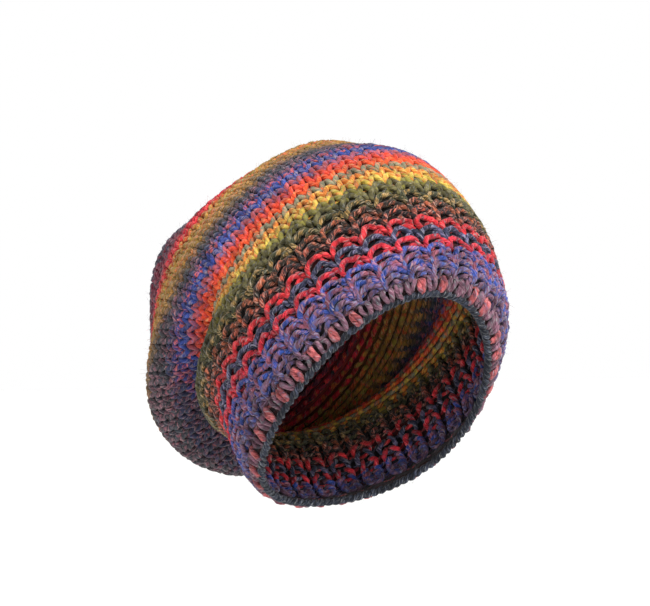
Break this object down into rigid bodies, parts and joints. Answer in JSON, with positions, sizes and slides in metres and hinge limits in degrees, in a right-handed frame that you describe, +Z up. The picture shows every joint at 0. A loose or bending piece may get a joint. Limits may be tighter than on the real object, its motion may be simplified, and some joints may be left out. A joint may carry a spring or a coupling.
{
  "type": "wool beret",
  "caption": "Slouchy hand-knit beret: a ribbed band with a cast-on edge and a loose striped crown that is gathered at its centre and hangs down behind the band.",
  "frame": {"origin": "centre of the rim opening, where the head goes in", "axes": "+Z up as worn, the wearer faces -Y, the wearer's right is -X; the rim is high over the forehead and low at the nape"},
  "size_m": [0.197, 0.2697, 0.227],
  "materials": {
    "slate_wool": "matte soft wool, dark slate",
    "band_wool": "matte soft wool, marled mauve, blue, red and charcoal",
    "crown_wool": "matte soft wool, marled gold, orange, blue, grey and red"
  },
  "bodies": {
    "root": {"cast_on_edge": "slate_wool", "ribbed_band": "band_wool", "crown": "crown_wool"}
  },
  "joints": []
}
